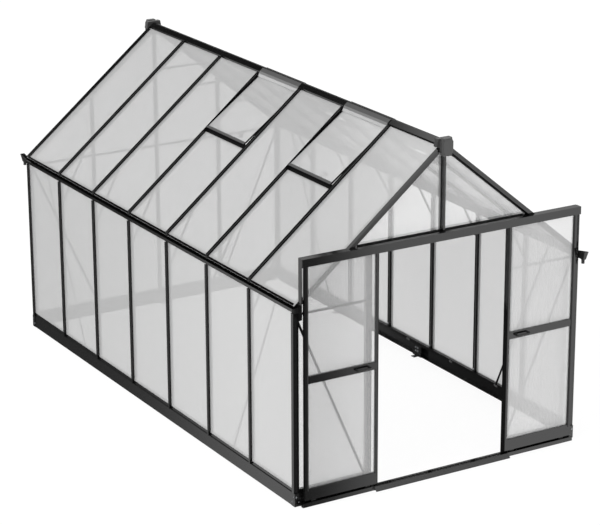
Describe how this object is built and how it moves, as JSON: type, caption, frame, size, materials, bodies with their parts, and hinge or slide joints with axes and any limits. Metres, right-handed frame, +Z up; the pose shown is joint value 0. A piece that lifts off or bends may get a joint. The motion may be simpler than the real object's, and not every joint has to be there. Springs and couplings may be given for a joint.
{
  "type": "polycarbonate greenhouse",
  "caption": "Polycarbonate greenhouse with a dark aluminium frame on a steel base, sliding doors in the front gable, gutters and roof vents.",
  "frame": {"origin": "on the ground under the middle of the building's bounding box", "axes": "+X to the right seen from the door gable, +Y from the door gable to the back gable along the ridge, +Z up"},
  "size_m": [2.407, 4.4986, 2.4778],
  "materials": {
    "coated_aluminium": "powder coated, satin",
    "coated_steel": "powder coated, satin",
    "moulded_plastic": "moulded",
    "polycarbonate": "clear twin-wall sheet"
  },
  "bodies": {
    "house": {"base_rails": "coated_steel", "base_corners": "coated_steel", "sill_rails": "coated_aluminium", "corner_posts": "coated_aluminium", "left_wall_bars": "coated_aluminium", "right_wall_bars": "coated_aluminium", "left_wall_panels": "polycarbonate", "right_wall_panels": "polycarbonate", "left_gutter": "coated_aluminium", "right_gutter": "coated_aluminium", "gutter_ends": "moulded_plastic", "gable_rafters": "coated_aluminium", "left_roof_bars": "coated_aluminium", "right_roof_bars": "coated_aluminium", "ridge_beam": "coated_aluminium", "ridge_caps": "moulded_plastic", "left_roof_panels": "polycarbonate", "right_roof_panels": "polycarbonate", "back_gable_bars": "coated_aluminium", "back_gable_panels": "polycarbonate", "door_jambs": "coated_aluminium", "door_header": "coated_aluminium", "king_post": "coated_aluminium", "front_gable_panels": "polycarbonate", "gable_ties": "coated_aluminium", "diagonal_braces": "coated_aluminium", "knee_braces": "coated_aluminium", "collar_ties": "coated_aluminium", "door_rail": "coated_aluminium", "rail_end_struts": "coated_steel", "bottom_track": "coated_aluminium", "threshold": "coated_aluminium", "vent_curbs": "coated_aluminium", "vent_sashes": "coated_aluminium", "vent_panes": "polycarbonate", "vent_stays": "moulded_plastic", "base_splices": "coated_steel"},
    "left_door": {"left_door_frame": "coated_aluminium", "left_door_panels": "polycarbonate", "left_door_rollers": "moulded_plastic", "left_door_handle": "moulded_plastic"},
    "right_door": {"right_door_frame": "coated_aluminium", "right_door_panels": "polycarbonate", "right_door_rollers": "moulded_plastic", "right_door_handle": "moulded_plastic"}
  },
  "joints": [
    {"name": "left_door_slide", "type": "slide", "parent": "house", "child": "left_door", "axis": [1, 0, 0], "range_m": [0, 0.54]},
    {"name": "right_door_slide", "type": "slide", "parent": "house", "child": "right_door", "axis": [-1, 0, 0], "range_m": [0, 0.54]}
  ]
}
